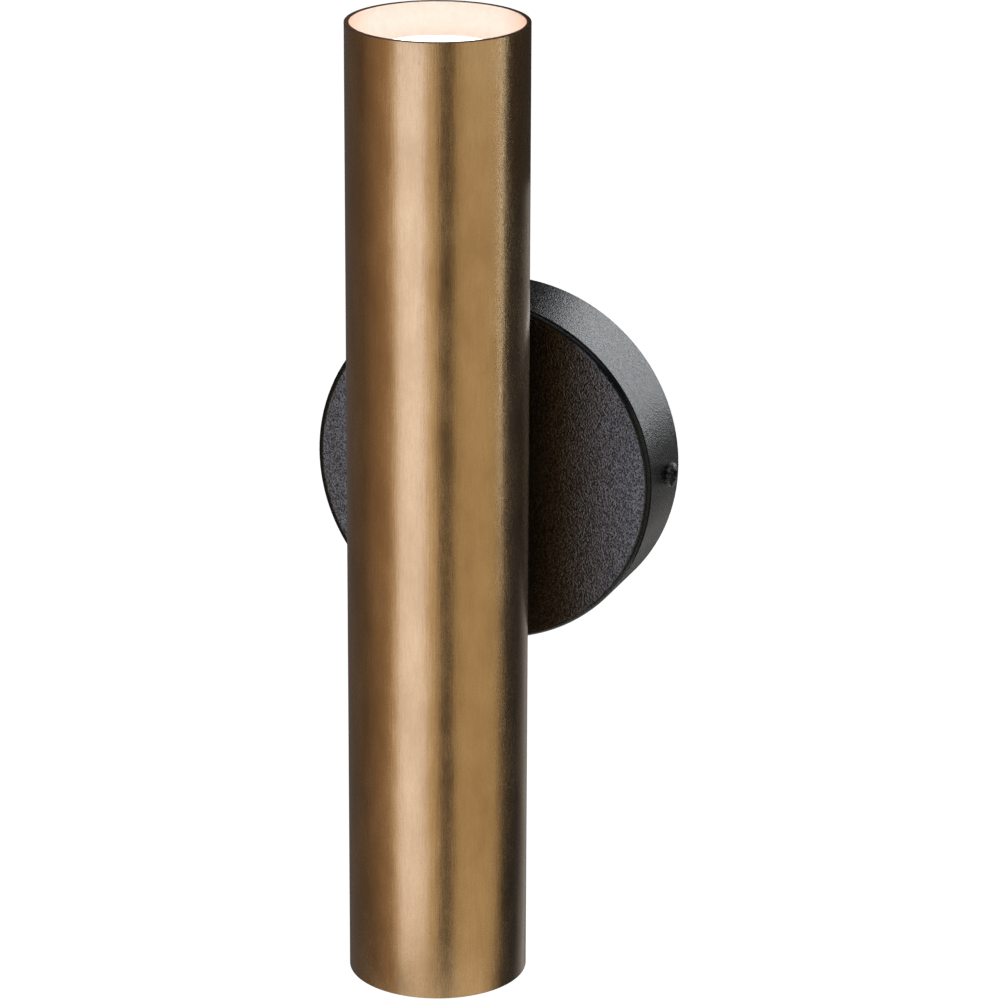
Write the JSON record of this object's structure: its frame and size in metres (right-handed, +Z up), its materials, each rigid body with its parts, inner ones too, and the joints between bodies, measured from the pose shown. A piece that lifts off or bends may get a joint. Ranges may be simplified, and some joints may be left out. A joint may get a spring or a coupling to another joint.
{
  "type": "wall spotlight",
  "caption": "Wall light with an upright brass tube that shines up and down, on a round black canopy; the tube turns on its stem.",
  "frame": {"origin": "centre of the wall bracket's two slots, on the wall plane", "axes": "+Y into the wall, +Z up along the tube, +X to the right of someone facing the light"},
  "size_m": [0.1254, 0.1005, 0.328],
  "materials": {
    "aged_brass": "brushed along its length, aged, satin; painted white inside",
    "black_paint": "fine-textured matt powder coat",
    "black_screw": "black satin",
    "zinc_steel": "zinc plated",
    "small_brass": "bare brass",
    "natural_nylon": "natural",
    "black_rubber": "matt",
    "white_plastic": "satin",
    "ceramic": "unglazed white",
    "lamp_metal": "white satin",
    "board_white": "white solder mask with yellow LEDs",
    "lamp_glow": "frosted, lit from behind",
    "live_insulation": "silicone",
    "neutral_insulation": "silicone",
    "earth_insulation": "silicone, green with a yellow stripe"
  },
  "bodies": {
    "bracket": {"wall_bracket": "zinc_steel", "cable_grommet": "black_rubber", "terminal_block": "white_plastic", "terminal_clamps": "small_brass", "terminal_screws": "zinc_steel", "terminal_fixing_screws": "zinc_steel", "earth_screw": "zinc_steel", "earth_washer": "zinc_steel", "earth_ring_tag": "small_brass", "bracket_earth_lead": "earth_insulation", "live_feed_leads": "live_insulation", "neutral_feed_leads": "neutral_insulation", "earth_feed_lead": "earth_insulation"},
    "canopy": {"canopy": "black_paint", "right_rim_nut": "zinc_steel", "left_rim_nut": "zinc_steel", "front_friction_washer": "natural_nylon", "rear_friction_washer": "natural_nylon", "stop_pin": "zinc_steel"},
    "tube": {"lamp_tube": "aged_brass", "swivel_nipple": "small_brass", "nipple_bushes": "natural_nylon", "saddle_collar": "black_paint", "inner_saddle": "zinc_steel", "tube_nut": "zinc_steel", "stop_washer": "zinc_steel", "disc_spring": "zinc_steel", "lock_nut": "zinc_steel", "lamp_carrier": "zinc_steel", "upper_lampholder": "ceramic", "lower_lampholder": "ceramic", "holder_contacts": "small_brass", "holder_screws": "zinc_steel", "holder_nuts": "zinc_steel", "live_lamp_leads": "live_insulation", "neutral_lamp_leads": "neutral_insulation", "earth_lamp_lead": "earth_insulation", "carrier_earth_tag": "small_brass", "carrier_earth_screw": "zinc_steel"},
    "upper_lamp": {"upper_lamp_base": "white_plastic", "upper_lamp_pins": "small_brass", "upper_lamp_shell": "lamp_metal", "upper_lamp_board": "board_white", "upper_lamp_lens": "lamp_glow"},
    "lower_lamp": {"lower_lamp_base": "white_plastic", "lower_lamp_pins": "small_brass", "lower_lamp_shell": "lamp_metal", "lower_lamp_board": "board_white", "lower_lamp_lens": "lamp_glow"},
    "right_washer": {"right_side_washer": "black_screw"},
    "right_screw": {"right_side_screw": "black_screw"},
    "left_washer": {"left_side_washer": "black_screw"},
    "left_screw": {"left_side_screw": "black_screw"}
  },
  "joints": [
    {"name": "canopy_pull", "type": "slide", "parent": "bracket", "child": "canopy", "axis": [0, -1, 0], "range_m": [0, 0.04], "deforming": ["live_feed_leads", "neutral_feed_leads", "earth_feed_lead"]},
    {"name": "tube_swivel", "type": "hinge", "parent": "canopy", "child": "tube", "pos_m": [0, -0.03, 0], "axis": [0, -1, 0], "range_deg": [-165, 165]},
    {"name": "upper_lamp_twist", "type": "hinge", "parent": "tube", "child": "upper_lamp", "pos_m": [0, -0.0705, 0.1065], "axis": [0, 0, 1], "range_deg": [0, 30]},
    {"name": "lower_lamp_twist", "type": "hinge", "parent": "tube", "child": "lower_lamp", "pos_m": [0, -0.0705, -0.1065], "axis": [0, 0, -1], "range_deg": [0, 30]},
    {"name": "right_screw_travel", "type": "slide", "parent": "canopy", "child": "right_washer", "axis": [1, 0, 0], "range_m": [0, 0.0028]},
    {"name": "right_screw_turn", "type": "hinge", "parent": "right_washer", "child": "right_screw", "pos_m": [0.06065, -0.0105, 0], "axis": [1, 0, 0], "range_deg": [0, 1441]},
    {"name": "left_screw_travel", "type": "slide", "parent": "canopy", "child": "left_washer", "axis": [-1, 0, 0], "range_m": [0, 0.0028]},
    {"name": "left_screw_turn", "type": "hinge", "parent": "left_washer", "child": "left_screw", "pos_m": [-0.06065, -0.0105, 0], "axis": [-1, 0, 0], "range_deg": [0, 1441]}
  ],
  "couplings": [
    {"joint": "right_screw_turn", "follows": "right_screw_travel", "rad_per_m": 8976},
    {"joint": "left_screw_turn", "follows": "left_screw_travel", "rad_per_m": 8976}
  ]
}
